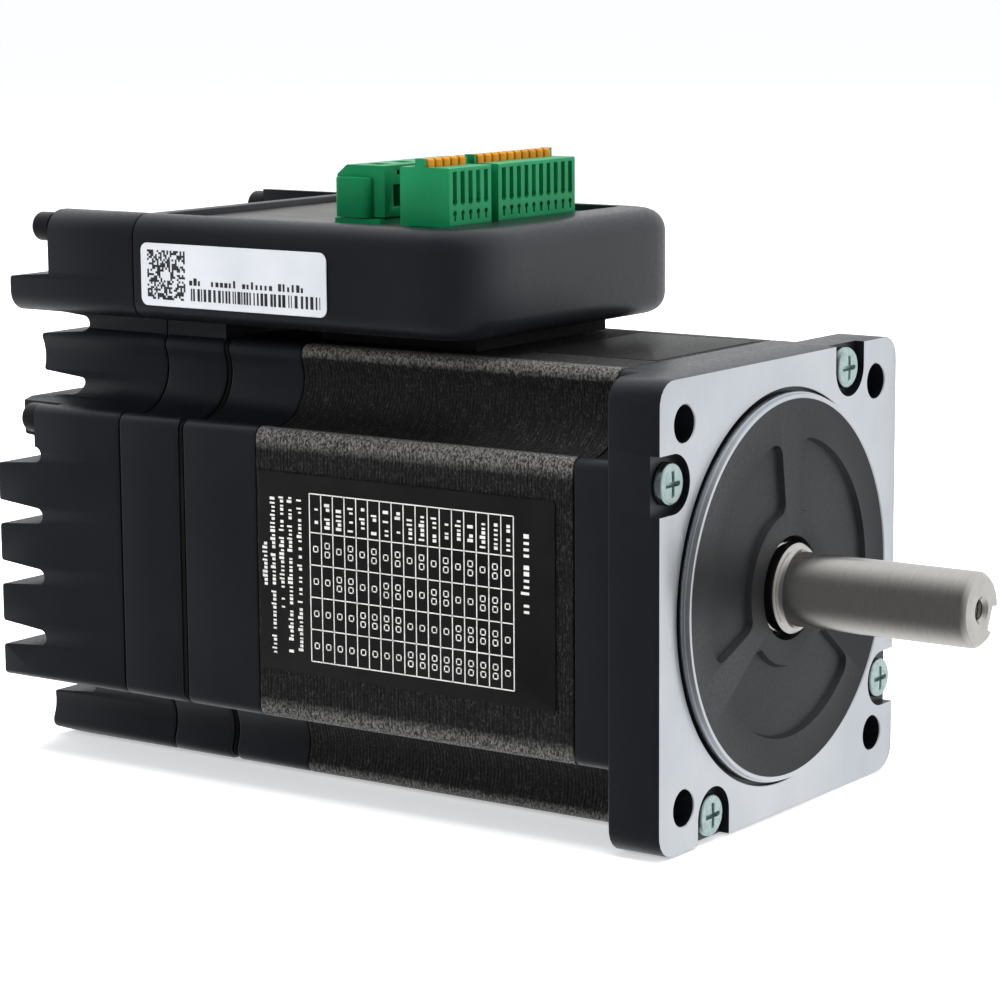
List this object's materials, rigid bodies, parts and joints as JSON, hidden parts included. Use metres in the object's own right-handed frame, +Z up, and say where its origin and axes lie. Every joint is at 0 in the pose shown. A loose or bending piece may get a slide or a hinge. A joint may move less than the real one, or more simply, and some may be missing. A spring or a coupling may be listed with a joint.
{
  "type": "integrated stepper motor",
  "caption": "Square-flanged stepper motor with a keyed round shaft, a finned rear cover and a driver box on top that carries pull-off green terminals.",
  "frame": {"origin": "centre of the bounding box's footprint, level with the flange's lower edge", "axes": "+X along the shaft, out of the motor; +Y across the flange; +Z up, from the shaft axis to the driver box"},
  "size_m": [0.1996, 0.086, 0.1218],
  "materials": {
    "black_cast": "satin blue-black paint on die-cast metal",
    "stack_black": "matte black painted steel laminations",
    "copper_coil": "enamelled copper wire",
    "seal_black": "matte black",
    "bearing_steel": "ground bearing steel",
    "shaft_steel": "turned and ground",
    "core_steel": "ground lamination packs",
    "magnet_grey": "matte grey",
    "board_green": "glass-fibre circuit board",
    "zinc_screw": "bluish zinc plate",
    "black_screw": "black oxide",
    "deck_grey": "satin dark grey plate",
    "pad_grey": "soft thermal pad",
    "can_blue": "sleeved can",
    "terminal_green": "moulded green",
    "lever_orange": "moulded orange",
    "label_silver": "silver film",
    "label_black": "black film"
  },
  "bodies": {
    "motor_body": {"front_bell": "black_cast", "rear_bell": "black_cast", "driver_housing": "black_cast", "rear_cover": "black_cast", "stator_stack": "stack_black", "stator_winding": "copper_coil", "motor_gasket": "seal_black", "encoder_reader": "seal_black", "support_pad": "seal_black", "front_bearing_outer": "bearing_steel", "rear_bearing_outer": "bearing_steel", "wave_washer": "bearing_steel", "encoder_board": "board_green", "driver_board": "board_green", "encoder_screw_1": "zinc_screw", "encoder_screw_2": "zinc_screw", "flange_screw_1": "zinc_screw", "flange_screw_2": "zinc_screw", "flange_screw_3": "zinc_screw", "flange_screw_4": "zinc_screw", "cover_screw_1": "black_screw", "cover_screw_2": "black_screw", "cover_screw_3": "black_screw", "cover_screw_4": "black_screw", "cover_screw_5": "black_screw", "cover_screw_6": "black_screw", "deck_plate": "deck_grey", "thermal_pad": "pad_grey", "capacitor_1": "can_blue", "capacitor_2": "can_blue", "signal_header_5": "terminal_green", "signal_header_10": "terminal_green", "power_header": "terminal_green", "serial_label": "label_silver", "table_label": "label_black"},
    "rotor": {"shaft": "shaft_steel", "rotor_core_front": "core_steel", "rotor_core_rear": "core_steel", "rotor_magnet": "magnet_grey", "front_bearing_inner": "bearing_steel", "rear_bearing_inner": "bearing_steel", "encoder_disc": "magnet_grey"},
    "signal_plug_5_body": {"signal_plug_5": "terminal_green"},
    "lever_5_1_body": {"lever_5_1": "lever_orange"},
    "lever_5_2_body": {"lever_5_2": "lever_orange"},
    "lever_5_3_body": {"lever_5_3": "lever_orange"},
    "lever_5_4_body": {"lever_5_4": "lever_orange"},
    "lever_5_5_body": {"lever_5_5": "lever_orange"},
    "signal_plug_10_body": {"signal_plug_10": "terminal_green"},
    "lever_10_1_body": {"lever_10_1": "lever_orange"},
    "lever_10_2_body": {"lever_10_2": "lever_orange"},
    "lever_10_3_body": {"lever_10_3": "lever_orange"},
    "lever_10_4_body": {"lever_10_4": "lever_orange"},
    "lever_10_5_body": {"lever_10_5": "lever_orange"},
    "lever_10_6_body": {"lever_10_6": "lever_orange"},
    "lever_10_7_body": {"lever_10_7": "lever_orange"},
    "lever_10_8_body": {"lever_10_8": "lever_orange"},
    "lever_10_9_body": {"lever_10_9": "lever_orange"},
    "lever_10_10_body": {"lever_10_10": "lever_orange"},
    "power_plug_body": {"power_plug": "terminal_green"}
  },
  "joints": [
    {"name": "shaft_spin", "type": "hinge", "parent": "motor_body", "child": "rotor", "pos_m": [0.0588, 0, 0.043], "axis": [1, 0, 0], "continuous": true},
    {"name": "signal_plug_5_pull", "type": "slide", "parent": "motor_body", "child": "signal_plug_5_body", "axis": [0, 0, 1], "range_m": [0, 0.008]},
    {"name": "lever_5_1_press", "type": "slide", "parent": "signal_plug_5_body", "child": "lever_5_1_body", "axis": [0, 0, -1], "range_m": [0, 0.001], "stiffness_N_per_m": 2000},
    {"name": "lever_5_2_press", "type": "slide", "parent": "signal_plug_5_body", "child": "lever_5_2_body", "axis": [0, 0, -1], "range_m": [0, 0.001], "stiffness_N_per_m": 2000},
    {"name": "lever_5_3_press", "type": "slide", "parent": "signal_plug_5_body", "child": "lever_5_3_body", "axis": [0, 0, -1], "range_m": [0, 0.001], "stiffness_N_per_m": 2000},
    {"name": "lever_5_4_press", "type": "slide", "parent": "signal_plug_5_body", "child": "lever_5_4_body", "axis": [0, 0, -1], "range_m": [0, 0.001], "stiffness_N_per_m": 2000},
    {"name": "lever_5_5_press", "type": "slide", "parent": "signal_plug_5_body", "child": "lever_5_5_body", "axis": [0, 0, -1], "range_m": [0, 0.001], "stiffness_N_per_m": 2000},
    {"name": "signal_plug_10_pull", "type": "slide", "parent": "motor_body", "child": "signal_plug_10_body", "axis": [0, 0, 1], "range_m": [0, 0.008]},
    {"name": "lever_10_1_press", "type": "slide", "parent": "signal_plug_10_body", "child": "lever_10_1_body", "axis": [0, 0, -1], "range_m": [0, 0.001], "stiffness_N_per_m": 2000},
    {"name": "lever_10_2_press", "type": "slide", "parent": "signal_plug_10_body", "child": "lever_10_2_body", "axis": [0, 0, -1], "range_m": [0, 0.001], "stiffness_N_per_m": 2000},
    {"name": "lever_10_3_press", "type": "slide", "parent": "signal_plug_10_body", "child": "lever_10_3_body", "axis": [0, 0, -1], "range_m": [0, 0.001], "stiffness_N_per_m": 2000},
    {"name": "lever_10_4_press", "type": "slide", "parent": "signal_plug_10_body", "child": "lever_10_4_body", "axis": [0, 0, -1], "range_m": [0, 0.001], "stiffness_N_per_m": 2000},
    {"name": "lever_10_5_press", "type": "slide", "parent": "signal_plug_10_body", "child": "lever_10_5_body", "axis": [0, 0, -1], "range_m": [0, 0.001], "stiffness_N_per_m": 2000},
    {"name": "lever_10_6_press", "type": "slide", "parent": "signal_plug_10_body", "child": "lever_10_6_body", "axis": [0, 0, -1], "range_m": [0, 0.001], "stiffness_N_per_m": 2000},
    {"name": "lever_10_7_press", "type": "slide", "parent": "signal_plug_10_body", "child": "lever_10_7_body", "axis": [0, 0, -1], "range_m": [0, 0.001], "stiffness_N_per_m": 2000},
    {"name": "lever_10_8_press", "type": "slide", "parent": "signal_plug_10_body", "child": "lever_10_8_body", "axis": [0, 0, -1], "range_m": [0, 0.001], "stiffness_N_per_m": 2000},
    {"name": "lever_10_9_press", "type": "slide", "parent": "signal_plug_10_body", "child": "lever_10_9_body", "axis": [0, 0, -1], "range_m": [0, 0.001], "stiffness_N_per_m": 2000},
    {"name": "lever_10_10_press", "type": "slide", "parent": "signal_plug_10_body", "child": "lever_10_10_body", "axis": [0, 0, -1], "range_m": [0, 0.001], "stiffness_N_per_m": 2000},
    {"name": "power_plug_pull", "type": "slide", "parent": "motor_body", "child": "power_plug_body", "axis": [0, 0, 1], "range_m": [0, 0.008]}
  ]
}
